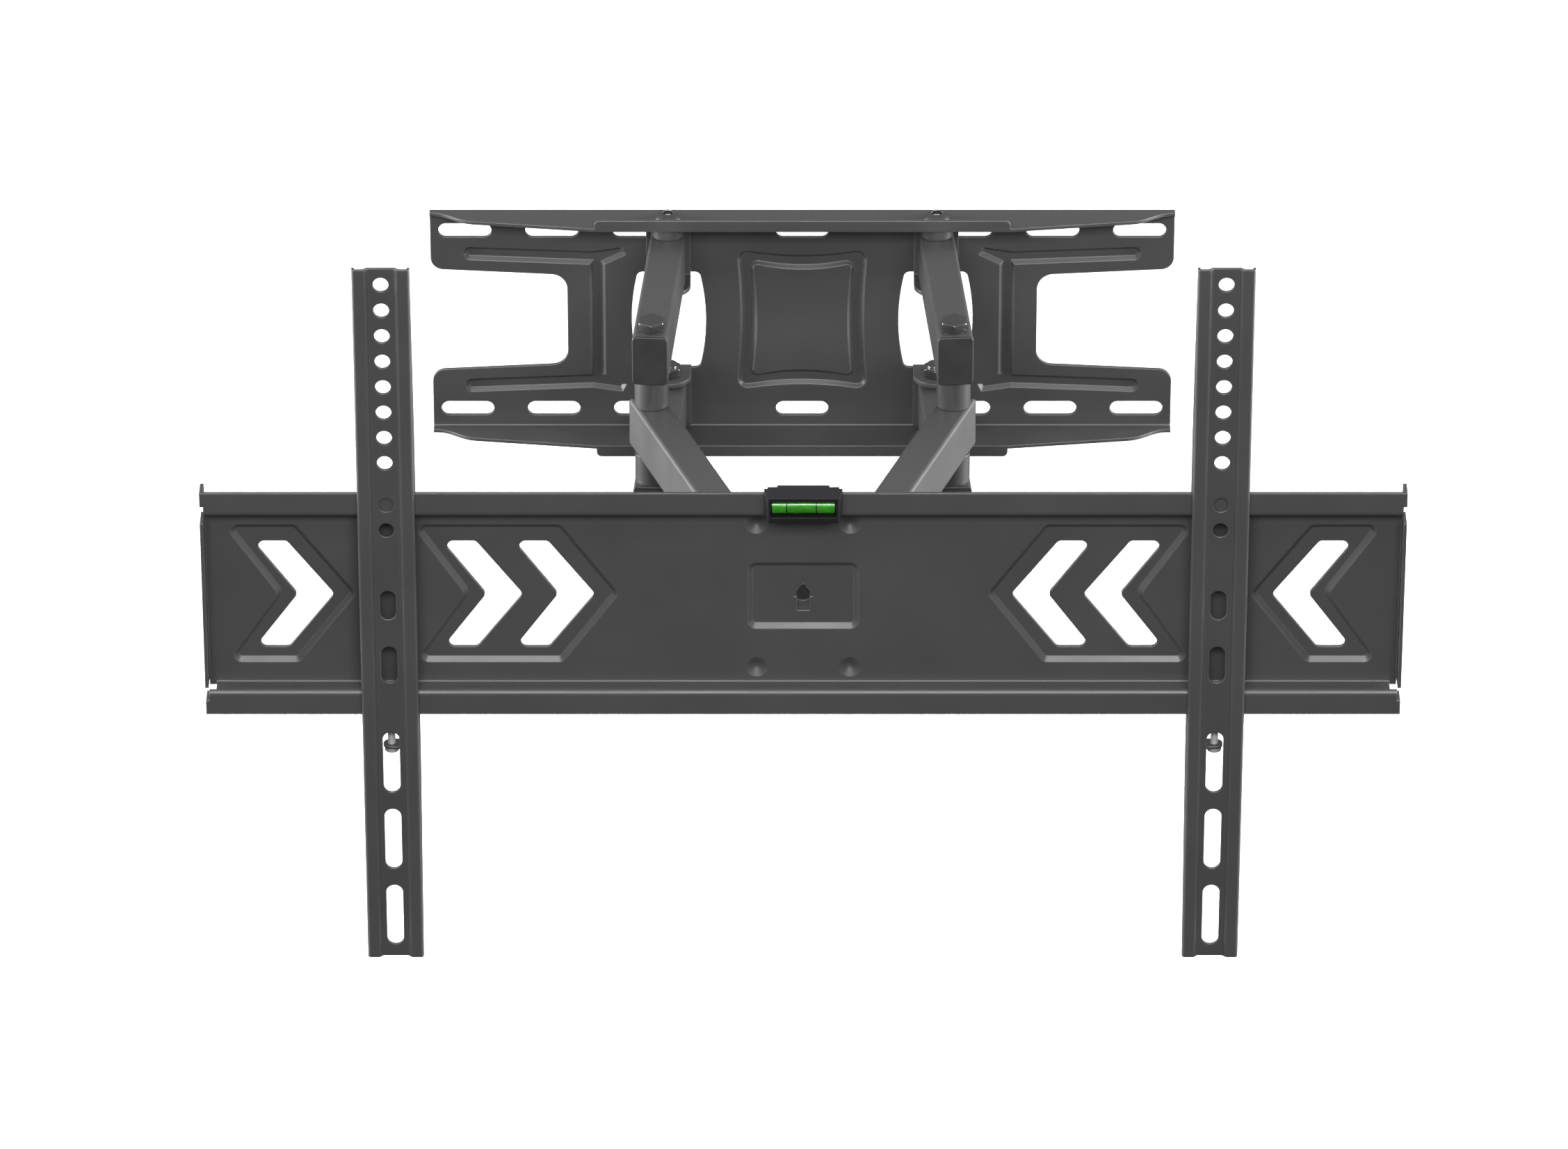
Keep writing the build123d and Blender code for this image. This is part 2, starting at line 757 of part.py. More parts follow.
with BuildPart() as yoke_washers:
    for x, depth in front_pivots:
        ring(below(yoke_inner, x, depth), yoke_washer_diameter / 2, pivot_bolt / 2, yoke_washer)
    mirror(about=Plane.XY)
finish_part(yoke_washers, "yoke_washers")

with BuildPart() as swivel_pin:
    button_head(above(yoke_outer, 0, swivel_depth), swivel_bolt * 1.7, button_height, hex_key)
    disc(below(yoke_outer, 0, swivel_depth), swivel_bolt / 2, 2 * yoke_outer + nut_height + thread_end)
finish_part(swivel_pin, "swivel_pin")

with BuildPart() as swivel_nut:
    hexagon(below(-yoke_outer, 0, swivel_depth), swivel_bolt * 1.6, nut_height, swivel_bolt / 2)
finish_part(swivel_nut, "swivel_nut")

# Knuckle: an upright barrel on the swivel pin, and a cross barrel for the tilt bolt

with BuildPart() as knuckle:
    disc(above(-yoke_inner + play, 0, swivel_depth), knuckle_radius, 2 * (yoke_inner - play))
    with BuildSketch(below(tilt_barrel)) as nose:
        with Locations((0, swivel_depth)):
            Rectangle(1.7 * knuckle_radius, tilt_offset, align=(Align.CENTER, Align.MIN))
    extrude(nose.sketch, amount=2 * tilt_barrel)
    disc(across(-tilt_half_width, tilt_depth, 0), tilt_barrel, 2 * tilt_half_width)
    disc(above(-yoke_outer, 0, swivel_depth), swivel_bolt / 2 + running, 2 * yoke_outer, Mode.SUBTRACT)
    tilt_bore = across(-tilt_half_width, tilt_depth, 0)
    disc(tilt_bore, pivot_bolt / 2 + running, 2 * tilt_half_width, Mode.SUBTRACT)
finish_part(knuckle, "knuckle")

# Tilt bracket: two cheeks on the tilt bolt, and a base plate with slots for the level studs

cheek_inner = tilt_half_width + play
cheek_outer = cheek_inner + cheek_plate
with BuildPart() as tilt_bracket:
    with BuildSketch(facing(base_rear)) as base:
        RectangleRounded(2 * tilt_base_half_x, 2 * tilt_base_half_z, 5)
        Circle(level_pin / 2 + running, mode=Mode.SUBTRACT)
        with Locations((0, level_stud_z), (0, -level_stud_z)):
            SlotOverall(level_stud + level_slot_travel, level_stud + 0.6, mode=Mode.SUBTRACT)
    extrude(base.sketch, amount=tilt_base_plate)
    for side in sides.values():
        with BuildSketch(across(side * cheek_inner, tilt_depth, 0)) as cheek:
            Circle(cheek_eye)
            with Locations((base_rear - tilt_depth + 1, 0)):
                Rectangle(2, 2 * cheek_root_half)
            make_hull()
            Circle(pivot_bolt / 2, mode=Mode.SUBTRACT)
        extrude(cheek.sketch, amount=side * cheek_plate)
finish_part(tilt_bracket, "tilt_bracket")

with BuildPart() as tilt_bolt:
    hexagon(across(cheek_outer, tilt_depth, 0), nut_across, hex_height)
    shank_length = 2 * cheek_outer + nut_height + thread_end
    with BuildSketch(across(cheek_outer, tilt_depth, 0)) as shank:
        Circle(pivot_bolt / 2)
    extrude(shank.sketch, amount=-shank_length)
finish_part(tilt_bolt, "tilt_bolt")

with BuildPart() as tilt_nut:
    hexagon(facing_left(-cheek_outer, tilt_depth, 0), nut_across, nut_height, pivot_bolt / 2)
finish_part(tilt_nut, "tilt_nut")

# Hub plate behind the television plate, with the level pin and its two clamp studs

with BuildPart() as hub_plate:
    with BuildSketch(facing(hub_rear)) as hub:
        RectangleRounded(2 * hub_half_x, 2 * hub_half_z, 6)
        Circle(level_pin / 2, mode=Mode.SUBTRACT)
        with Locations((0, level_stud_z), (0, -level_stud_z)):
            Circle(level_stud / 2, mode=Mode.SUBTRACT)
    extrude(hub.sketch, amount=hub_plate_thickness)
finish_part(hub_plate, "hub_plate")

pin_end = base_rear - level_washer - play
with BuildPart() as level_pivot:
    disc(facing(pin_end), level_pin / 2, hub_front - pin_end)
    disc(facing(pin_end), level_washer_diameter / 2, level_washer)
finish_part(level_pivot, "level_pivot")

with BuildPart() as level_studs:
    for z in (level_stud_z, -level_stud_z):
        stud_end = base_rear - level_nut_height - thread_end
        disc(facing(stud_end, 0, z), level_stud / 2, hub_front - stud_end)
finish_part(level_studs, "level_studs")

with BuildPart() as level_nuts:
    for z in (level_stud_z, -level_stud_z):
        seat = Plane(origin=(0, -(base_rear - play), z), x_dir=(1, 0, 0), z_dir=(0, 1, 0))
        hexagon(seat, level_nut_across, level_nut_height, level_stud / 2)
finish_part(level_nuts, "level_nuts")


# Television plate: web with chevron windows, pressed frames, top and bottom shelves with lips

def chevron(centre, half_height, heel, toe, tip, notch, corner):
    # points to the middle of the plate; made on the +X side
    with BuildSketch() as shape:
        with BuildLine():
            Polyline(
                (centre + heel, half_height),
                (centre + toe, half_height),
                (centre - tip, 0),
                (centre + toe, -half_height),
                (centre + heel, -half_height),
                (centre - notch, 0),
                close=True,
            )
        make_face()
        fillet(shape.vertices(), corner)
    return shape.sketch


window_form = (chevron_heel, chevron_toe, chevron_tip, chevron_notch, chevron_corner)
windows = [chevron(x, chevron_half_height, *window_form) for x in chevron_columns]
outer_frame = chevron(chevron_columns[0], frame_half_height, *outer_frame_shape, frame_corner)
inner_middle = (chevron_columns[1] + chevron_columns[2]) / 2
inner_frame = chevron(inner_middle, frame_half_height, *inner_frame_shape, frame_corner)

with BuildPart() as tv_plate:
    shelf_top = shelf_under + tv_sheet
    with BuildSketch(profile_plane(tv_width / 2)) as section:
        with BuildLine() as middle_line:
            half = tv_sheet / 2
            path = FilletPolyline(
                (tv_lip_front - half, tv_half_height),
                (tv_lip_front - half, shelf_under + half),
                (tv_rear + half, shelf_under + half),
                (tv_rear + half, -shelf_under - half),
                (tv_lip_front - half, -shelf_under - half),
                (tv_lip_front - half, -tv_half_height),
                radius=sheet_bend + half,
            )
        trace(path, tv_sheet)
    extrude(section.sketch, amount=tv_width)
    # below the tabs the sheet stops short, and the web's ends turn forward as flanges
    for side in sides.values():
        end_x = side * tv_width / 2
        with BuildSketch(facing(tv_rear - 1)) as end_cut:
            with Locations((end_x, 0)):
                Rectangle(2 * tv_flange_gap, 2 * (tv_half_height - tv_tab_height))
        extrude(end_cut.sketch, amount=tv_lip_front - tv_rear + 2, mode=Mode.SUBTRACT)
        with BuildSketch(facing(tv_front)) as side_cut:
            with Locations((end_x - side * tv_flange_gap, 0)):
                Rectangle(2 * (tv_flange_gap + tv_sheet), 2 * (shelf_under + tv_sheet))
        extrude(side_cut.sketch, amount=tv_lip_rear - tv_front, mode=Mode.SUBTRACT)
        with BuildSketch(facing(tv_rear)) as end_web:
            with Locations((end_x - side * (tv_flange_gap + tv_sheet) / 2, 0)):
                Rectangle(tv_flange_gap + tv_sheet, 2 * tv_flange_half)
        extrude(end_web.sketch, amount=tv_sheet)
        with BuildSketch(facing(tv_rear)) as end_flange:
            with Locations((end_x - side * tv_sheet / 2, 0)):
                Rectangle(tv_sheet, 2 * tv_flange_half)
        extrude(end_flange.sketch, amount=tv_sheet + tv_flange_reach)
        for up in (1, -1):
            tab_z = up * (tv_half_height - tv_tab_height / 2)
            with BuildSketch(profile_plane(end_x - (tv_sheet if side > 0 else 0))) as tab:
                with Locations(((tv_lip_front - tv_tab_reach / 2), tab_z)):
                    Rectangle(tv_tab_reach, tv_tab_height)
                fillet(tab.vertices().group_by(Axis.X)[0], tv_tab_corner)
            extrude(tab.sketch, amount=-tv_sheet)
    # pressed frames, recess and dimples, each with its boss behind
    with BuildSketch() as pressed:
        with Locations((0, frame_rise)):
            add(outer_frame)
            add(inner_frame)
        mirror(about=Plane.YZ)
        RectangleRounded(recess_width, recess_height, recess_corner)
    with BuildSketch() as dimples:
        for x in (-dimple_x, dimple_x):
            with Locations((x, dimple_z), (x, -dimple_z)):
                Circle(dimple_radius)
    with BuildSketch(facing(tv_rear)) as pressed_rear:
        add(pressed.sketch)
        add(dimples.sketch)
    extrude(pressed_rear.sketch, amount=-tv_relief, taper=back_slope)
    with BuildSketch(facing(tv_front)) as pressed_front:
        add(pressed.sketch)
    extrude(pressed_front.sketch, amount=-tv_relief, taper=tv_press_slope, mode=Mode.SUBTRACT)
    with BuildSketch(facing(tv_front)) as dimple_front:
        add(dimples.sketch)
    extrude(dimple_front.sketch, amount=-tv_relief, taper=dimple_slope, mode=Mode.SUBTRACT)
    with BuildSketch(facing(0)) as plate_windows:
        for shape in windows:
            add(shape)
            add(shape.mirror(Plane.YZ))
        # an arrow that shows which way is up
        with BuildLine():
            Polyline(
                (0, arrow_top),
                (arrow_width / 2, arrow_top - arrow_head),
                (arrow_stem / 2, arrow_top - arrow_head),
                (arrow_stem / 2, -arrow_bottom),
                (-arrow_stem / 2, -arrow_bottom),
                (-arrow_stem / 2, arrow_top - arrow_head),
                (-arrow_width / 2, arrow_top - arrow_head),
                close=True,
            )
        make_face()
    extrude(plate_windows.sketch, amount=tv_front + 1, mode=Mode.SUBTRACT)
finish_part(tv_plate, "tv_plate")

# Bubble level: a moulded clip over the top lip, a liquid vial with two rings, and its bubble

vial_z = tv_half_height + level_top - vial_drop
vial_depth = tv_lip_front + level_reach - vial_set_back
housing_top = tv_half_height + level_top
with BuildPart() as level_housing:
    with BuildSketch(below(housing_top)) as body:
        with BuildLine():
            Polyline(
                (-level_width / 2, tv_lip_front),
                (-level_front_width / 2, tv_lip_front + level_reach),
                (level_front_width / 2, tv_lip_front + level_reach),
                (level_width / 2, tv_lip_front),
                close=True,
            )
        make_face()
        fillet(body.vertices().group_by(Axis.Y)[-1], 1.0)
    extrude(body.sketch, amount=level_height)
    with BuildSketch(below(housing_top)) as step:
        with Locations((0, tv_lip_front)):
            Rectangle(level_step_width, 2.0, align=(Align.CENTER, Align.MAX))
    extrude(step.sketch, amount=level_top)
    with BuildSketch(below(housing_top)) as clip:
        with Locations((0, tv_lip_front)):
            Rectangle(level_clip_width, level_clip_back, align=(Align.CENTER, Align.MAX))
    extrude(clip.sketch, amount=level_top)
    with BuildSketch(below(housing_top)) as clip_leg:
        with Locations((0, tv_lip_rear)):
            Rectangle(level_clip_width, level_clip_back - tv_sheet, align=(Align.CENTER, Align.MAX))
    extrude(clip_leg.sketch, amount=level_top + 9)
    with BuildSketch(facing(tv_lip_front + level_reach + 1, 0, vial_z)) as sight:
        Rectangle(vial_window_width, vial_window_height)
    extrude(sight.sketch, amount=-(vial_set_back + 1), mode=Mode.SUBTRACT)
    vial_seat = across(-vial_window_width / 2, vial_depth, vial_z)
    disc(vial_seat, vial_radius + ring_thickness, vial_window_width, Mode.SUBTRACT)
finish_part(level_housing, "level_housing")

bubble_z = vial_z + vial_radius - bubble_radius - bubble_drop
with BuildPart() as bubble:
    with BuildSketch(facing(vial_depth, bubble_x, bubble_z)) as half_bubble:
        SlotOverall(2 * bubble_half_length, 2 * bubble_radius)
        Rectangle(
            4 * bubble_half_length,
            2 * bubble_radius,
            align=(Align.CENTER, Align.MAX),
            mode=Mode.SUBTRACT,
        )
    revolve(half_bubble.sketch, axis=Axis((0, -vial_depth, bubble_z), (1, 0, 0)))
finish_part(bubble, "bubble")

with BuildPart() as vial:
    disc(across(-vial_length / 2, vial_depth, vial_z), vial_radius, vial_length)
    add(bubble.part, mode=Mode.SUBTRACT)
finish_part(vial, "vial")

with BuildPart() as vial_rings:
    for x in (vial_shift - ring_spacing / 2, vial_shift + ring_spacing / 2):
        seat = across(x - ring_length / 2, vial_depth, vial_z)
        ring(seat, vial_radius + ring_proud, vial_radius, ring_length)
finish_part(vial_rings, "vial_rings")

# Television brackets: a ribbed channel with hook walls over the top lip, a row of screw holes,
# and a lug below the bottom lip that carries the locking screw

bracket_flat_rear = tv_lip_front + play
bracket_flat_front = bracket_flat_rear + tv_bracket_sheet
bracket_front = bracket_flat_front + rib_step
bracket_top_z = tv_bracket_length / 2 - tv_bracket_drop
bracket_bottom_z = bracket_top_z - tv_bracket_length
screw_depth = (tv_front + tv_lip_rear) / 2
hook_rear = bracket_front - hook_depth
for side_name, side in sides.items():
    centre = side * bracket_centre
    half_width = tv_bracket_width / 2
    wall_x = half_width - tv_bracket_sheet
    with BuildPart() as tv_bracket:
        with BuildSketch(below(bracket_top_z, centre)) as section:
            with BuildLine():
                half = tv_bracket_sheet / 2
                rib_inner = half_width - rib_width
                path = FilletPolyline(
                    (-half_width + half, bracket_flat_rear),
                    (-half_width + half, bracket_front - half),
                    (-rib_inner, bracket_front - half),
                    (-rib_inner + rib_step, bracket_flat_front - half),
                    (rib_inner - rib_step, bracket_flat_front - half),
                    (rib_inner, bracket_front - half),
                    (half_width - half, bracket_front - half),
                    (half_width - half, bracket_flat_rear),
                    radius=1.0,
                )
            trace(path, tv_bracket_sheet)
        extrude(section.sketch, amount=tv_bracket_length)
        for wall_side in (-1, 1):
            wall_plane = profile_plane(centre + wall_side * half_width)
            with BuildSketch(wall_plane) as hooks:
                with BuildLine():
                    Polyline(
                        (bracket_flat_front, bracket_top_z - hook_start),
                        (bracket_flat_rear, bracket_top_z - hook_start),
                        (hook_rear, hook_top),
                        (hook_rear, tv_half_height - hook_finger + hook_cut),
                        (hook_rear + hook_cut, tv_half_height - hook_finger),
                        (tv_lip_rear - hook_gap, tv_half_height - hook_finger),
                        (tv_lip_rear - hook_gap, tv_half_height + hook_gap),
                        (bracket_flat_front, tv_half_height + hook_gap),
                        close=True,
                    )
                make_face()
                with BuildLine():
                    Polyline(
                        (bracket_flat_front, -tv_half_height - hook_low_gap),
                        (bracket_flat_rear, -tv_half_height - hook_low_gap),
                        (hook_rear, -hook_low_top),
                        (hook_rear, -hook_low_bottom),
                        (bracket_flat_rear, bracket_bottom_z + hook_start),
                        (bracket_flat_front, bracket_bottom_z + hook_start),
                        close=True,
                    )
                make_face()
            extrude(hooks.sketch, amount=wall_side * tv_bracket_sheet)
        with BuildSketch(below(lug_z, centre, 0)) as lug:
            with Locations((0, screw_depth)):
                Circle(lug_width / 2)
            with Locations((-side * wall_x / 2, screw_depth)):
                Rectangle(wall_x, lug_width)
            with Locations((0, screw_depth)):
                Circle(screw_diameter / 2 + running, mode=Mode.SUBTRACT)
        extrude(lug.sketch, amount=tv_bracket_sheet)
        with BuildSketch(facing(bracket_flat_rear - 1, centre, 0)) as holes:
            for n in range(hole_count):
                with Locations((0, bracket_top_z - hole_start - n * hole_pitch)):
                    Circle(hole_diameter / 2)
            for n in range(2):
                with Locations((0, bracket_top_z - pair_start - n * hole_pitch)):
                    Circle(hole_diameter / 2)
            for drop, width, length in (slot_a, slot_b):
                with Locations((0, bracket_top_z - drop)):
                    SlotOverall(length, width, rotation=90)
            for n in range(3):
                with Locations((0, bracket_top_z - long_slot_start - n * long_slot_pitch)):
                    SlotOverall(long_slot_length, long_slot_width, rotation=90)
        extrude(holes.sketch, amount=tv_bracket_sheet + rib_step + 2, mode=Mode.SUBTRACT)
    finish_part(tv_bracket, f"tv_bracket_{side_name}")

    with BuildPart() as lock_screw:
        head_top = lug_z - tv_bracket_sheet
        disc(below(head_top, centre, screw_depth), screw_head / 2, screw_head_height)
        disc(above(head_top, centre, screw_depth), screw_diameter / 2, screw_tip_z - head_top)
        with BuildSketch(above(head_top - screw_head_height, centre, screw_depth)) as cross:
            Rectangle(cross_length, cross_width)
            Rectangle(cross_width, cross_length)
        extrude(cross.sketch, amount=cross_sink, mode=Mode.SUBTRACT)
        chamfer(lock_screw.edges().group_by(Axis.Z)[-1], screw_point)
    finish_part(lock_screw, f"lock_screw_{side_name}")
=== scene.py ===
import json
import math
import bmesh
import bpy
from mathutils import Matrix, Vector

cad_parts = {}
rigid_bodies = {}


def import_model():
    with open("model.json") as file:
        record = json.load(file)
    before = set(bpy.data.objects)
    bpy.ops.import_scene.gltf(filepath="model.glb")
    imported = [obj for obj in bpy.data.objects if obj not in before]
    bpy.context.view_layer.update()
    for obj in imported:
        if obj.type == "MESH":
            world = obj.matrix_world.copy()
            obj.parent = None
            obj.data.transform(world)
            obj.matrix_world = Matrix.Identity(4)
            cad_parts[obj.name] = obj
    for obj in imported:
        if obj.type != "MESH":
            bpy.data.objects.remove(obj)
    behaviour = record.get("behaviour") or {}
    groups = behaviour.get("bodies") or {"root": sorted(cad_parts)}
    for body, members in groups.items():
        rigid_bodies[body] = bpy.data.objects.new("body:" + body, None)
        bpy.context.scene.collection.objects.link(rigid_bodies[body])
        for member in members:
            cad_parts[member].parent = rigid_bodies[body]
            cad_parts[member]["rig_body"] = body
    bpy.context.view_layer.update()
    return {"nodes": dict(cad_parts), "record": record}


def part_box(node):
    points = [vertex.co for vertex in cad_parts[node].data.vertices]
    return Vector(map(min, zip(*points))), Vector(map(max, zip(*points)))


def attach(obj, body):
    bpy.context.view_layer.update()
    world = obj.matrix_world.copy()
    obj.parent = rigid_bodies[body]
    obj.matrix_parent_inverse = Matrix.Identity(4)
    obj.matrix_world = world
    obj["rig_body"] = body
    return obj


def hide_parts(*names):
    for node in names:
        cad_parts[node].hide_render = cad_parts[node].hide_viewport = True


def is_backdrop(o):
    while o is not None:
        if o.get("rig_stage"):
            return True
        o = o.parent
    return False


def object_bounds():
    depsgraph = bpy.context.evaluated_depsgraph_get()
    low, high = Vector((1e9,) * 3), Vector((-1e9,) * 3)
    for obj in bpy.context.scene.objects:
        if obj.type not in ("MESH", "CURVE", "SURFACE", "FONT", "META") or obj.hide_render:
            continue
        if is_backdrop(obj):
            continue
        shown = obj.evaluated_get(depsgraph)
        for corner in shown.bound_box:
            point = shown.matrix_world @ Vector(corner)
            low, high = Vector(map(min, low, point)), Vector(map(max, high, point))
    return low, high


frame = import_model()
nodes = frame["nodes"]
print("frame loaded:", len(nodes), "nodes")

# the eye looks down at the mount from in front, a little to its left
cameraSettings = {
    "place": (-0.0105, -4.8276, 2.5054),
    "tiltDegrees": 61.0,
    "lens": 215.9,
    "sensor": 36.0,
    "clipEnd": 60.0,
}

studio = {
    "floorDrop": 0.30,
    "floorSize": 16.0,
    "floorColour": (0.95, 0.95, 0.95, 1.0),
    "floorRoughness": 0.9,
    "lowColour": (0.12, 0.12, 0.122, 1.0),
    "highColour": (1.0, 1.0, 1.0, 1.0),
    "skySpread": (-0.5, 0.7),
    "worldStrength": 0.52,
}

# each lamp: place, aim, size and power
lamps = {
    "overhead": ((0.0, -1.6, 2.8), (0.0, -0.2, 0.0), (1.6, 0.2), 7.0),
    "front": ((0.0, -3.0, 2.0), (0.0, -0.2, 0.0), (2.6, 0.9), 165.0),
    "leftStrip": ((-2.2, 0.0, 0.15), (0.0, -0.15, 0.0), (1.2, 1.4), 200.0),
    "rightStrip": ((2.2, 0.0, 0.15), (0.0, -0.15, 0.0), (1.2, 1.4), 200.0),
}

# what every coated metal shares; edgeTurn is how far the rounded normal leans at an edge that is
# lightened, partly as wear and partly as a painted highlight along bends
wearSettings = {
    "patchScale": 22.0,
    "patchSpread": (0.3, 0.7),
    "rubbingScale": 260.0,
    "rubbingSpread": (0.35, 0.65),
    "rubbingShare": (0.45, 1.0),
    "edgeTurn": (0.99, 0.86),
    "bevelSamples": 6,
    "bumpStrength": 0.35,
}

coatSettings = {
    "colour": (0.038, 0.038, 0.039, 1.0),
    "paleColour": (0.043, 0.043, 0.044, 1.0),
    # the edge colour is partly rubbed wear and partly a painted highlight along sheet bends
    "edgeWearAndHighlightColour": (0.13, 0.13, 0.132, 1.0),
    "roughness": (0.36, 0.46),
    "stippleScale": 1500.0,
    "stippleDepth": 0.00006,
    "edgeRadius": 0.0009,
}

spacerSettings = {
    "colour": (0.035, 0.035, 0.036, 1.0),
    "paleColour": (0.042, 0.042, 0.043, 1.0),
    "edgeWearAndHighlightColour": (0.11, 0.11, 0.112, 1.0),
    "roughness": (0.26, 0.36),
    "stippleScale": 1800.0,
    "stippleDepth": 0.00003,
    "edgeRadius": 0.0005,
}

castSettings = {
    "colour": (0.022, 0.022, 0.023, 1.0),
    "paleColour": (0.034, 0.034, 0.035, 1.0),
    "edgeWearAndHighlightColour": (0.08, 0.08, 0.082, 1.0),
    "roughness": (0.5, 0.68),
    "stippleScale": 700.0,
    "stippleDepth": 0.00016,
    "edgeRadius": 0.0009,
}

fastenerSettings = {
    "colour": (0.085, 0.085, 0.088, 1.0),
    "paleColour": (0.12, 0.12, 0.124, 1.0),
    # the pale edge colour is partly wear and partly a painted highlight on the head's corners
    "edgeWearAndHighlightColour": (0.42, 0.42, 0.43, 1.0),
    "roughness": (0.20, 0.32),
    "metallic": 0.85,
    "stippleScale": 2200.0,
    "stippleDepth": 0.00002,
    "edgeRadius": 0.0004,
}


def startMaterial(name):
    material = bpy.data.materials.new(name)
    material.use_nodes = True
    tree = material.node_tree
    return material, tree, tree.nodes["Principled BSDF"]


def addNoise(tree, place, scale, detail):
    noise = tree.nodes.new("ShaderNodeTexNoise")
    noise.inputs["Scale"].default_value = scale
    noise.inputs["Detail"].default_value = detail
    tree.links.new(place.outputs["Object"], noise.inputs["Vector"])
    return noise


def addRange(tree, source, fromPair, toPair):
    spread = tree.nodes.new("ShaderNodeMapRange")
    spread.inputs["From Min"].default_value, spread.inputs["From Max"].default_value = fromPair
    spread.inputs["To Min"].default_value, spread.inputs["To Max"].default_value = toPair
    tree.links.new(source, spread.inputs["Value"])
    return spread


def addMix(tree, factor, first, second):
    mix = tree.nodes.new("ShaderNodeMix")
    mix.data_type = "RGBA"
    tree.links.new(factor, mix.inputs["Factor"])
    for socket, value in ((mix.inputs[6], first), (mix.inputs[7], second)):
        if isinstance(value, tuple):
            socket.default_value = value
        else:
            tree.links.new(value, socket)
    return mix


def addBevel(tree, radius):
    rounded = tree.nodes.new("ShaderNodeBevel")
    rounded.samples = wearSettings["bevelSamples"]
    rounded.inputs["Radius"].default_value = radius
    return rounded


def addBump(tree, shader, source, strength, depth):
    bump = tree.nodes.new("ShaderNodeBump")
    bump.inputs["Strength"].default_value = strength
    bump.inputs["Distance"].default_value = depth
    tree.links.new(source.outputs["Fac"], bump.inputs["Height"])
    tree.links.new(bump.outputs["Normal"], shader.inputs["Normal"])
    return bump


# a base colour that drifts between two, and a gloss that drifts with it
def addBody(tree, shader, drift, first, second, spread, roughness):
    body = addMix(tree, drift.outputs["Fac"], first, second)
    tree.links.new(body.outputs[2], shader.inputs["Base Color"])
    gloss = addRange(tree, drift.outputs["Fac"], spread, roughness)
    tree.links.new(gloss.outputs["Result"], shader.inputs["Roughness"])
    return body


# a sprayed or plated metal: fine stipple, soft patches, and edges lightened partly as rubbed wear
# and partly as a painted highlight along bends
def coatedMetal(name, values):
    material, tree, shader = startMaterial(name)
    place = tree.nodes.new("ShaderNodeTexCoord")
    stipple = addNoise(tree, place, values["stippleScale"], 3.0)
    patches = addNoise(tree, place, wearSettings["patchScale"], 4.0)
    rubbing = addNoise(tree, place, wearSettings["rubbingScale"], 3.0)
    rounded = addBevel(tree, values["edgeRadius"])
    surface = tree.nodes.new("ShaderNodeNewGeometry")
    turn = tree.nodes.new("ShaderNodeVectorMath")
    turn.operation = "DOT_PRODUCT"
    tree.links.new(rounded.outputs["Normal"], turn.inputs[0])
    tree.links.new(surface.outputs["Normal"], turn.inputs[1])
    edge = addRange(tree, turn.outputs["Value"], wearSettings["edgeTurn"], (0.0, 1.0))
    wear = addRange(
        tree, rubbing.outputs["Fac"], wearSettings["rubbingSpread"], wearSettings["rubbingShare"],
    )
    wornAndLitEdges = tree.nodes.new("ShaderNodeMath")
    wornAndLitEdges.operation = "MULTIPLY"
    tree.links.new(edge.outputs["Result"], wornAndLitEdges.inputs[0])
    tree.links.new(wear.outputs["Result"], wornAndLitEdges.inputs[1])
    body = addBody(
        tree, shader, patches, values["colour"], values["paleColour"],
        wearSettings["patchSpread"], values["roughness"],
    )
    # lightens the edges toward the edge colour: partly rubbed wear, partly a painted highlight
    # where a bend or corner would catch the light
    final = addMix(tree, wornAndLitEdges.outputs["Value"], body.outputs[2], values["edgeWearAndHighlightColour"])
    tree.links.new(final.outputs[2], shader.inputs["Base Color"])
    shader.inputs["Metallic"].default_value = values.get("metallic", 0.0)
    bump = addBump(tree, shader, stipple, wearSettings["bumpStrength"], values["stippleDepth"])
    tree.links.new(rounded.outputs["Normal"], bump.inputs["Normal"])
    return material


plasticSettings = {
    "capColour": (0.020, 0.020, 0.021, 1.0),
    "capPale": (0.028, 0.028, 0.029, 1.0),
    "bushColour": (0.012, 0.012, 0.012, 1.0),
    "bushPale": (0.02, 0.02, 0.02, 1.0),
    "levelColour": (0.006, 0.0052, 0.0066, 1.0),
    "levelPale": (0.009, 0.008, 0.0098, 1.0),
    "ringColour": (0.004, 0.004, 0.004, 1.0),
    "ringPale": (0.007, 0.007, 0.007, 1.0),
    "patchScale": 60.0,
    "patchSpread": (0.3, 0.7),
    "roughness": (0.34, 0.48),
    "shine": 0.32,
    "edgeRadius": 0.0004,
    "grainScale": 1300.0,
    "grainStrength": 0.3,
    "grainDepth": 0.00005,
}


# moulded plastic with a fine spark-eroded grain
def mouldedPlastic(name, tone, values):
    material, tree, shader = startMaterial(name)
    place = tree.nodes.new("ShaderNodeTexCoord")
    grain = addNoise(tree, place, values["grainScale"], 2.0)
    patches = addNoise(tree, place, values["patchScale"], 3.0)
    addBody(
        tree, shader, patches, values[tone + "Colour"], values[tone + "Pale"],
        values["patchSpread"], values["roughness"],
    )
    shader.inputs["Specular IOR Level"].default_value = values["shine"]
    rounded = addBevel(tree, values["edgeRadius"])
    bump = addBump(tree, shader, grain, values["grainStrength"], values["grainDepth"])
    tree.links.new(rounded.outputs["Normal"], bump.inputs["Normal"])
    return material


chromeSettings = {
    "colour": (0.70, 0.70, 0.71, 1.0),
    "dull": (0.45, 0.45, 0.47, 1.0),
    "smearScale": 420.0,
    "smearSpread": (0.35, 0.7),
    "smearStrength": 0.15,
    "smearDepth": 0.00003,
    "roughness": (0.12, 0.28),
    "metallic": 0.6,
}


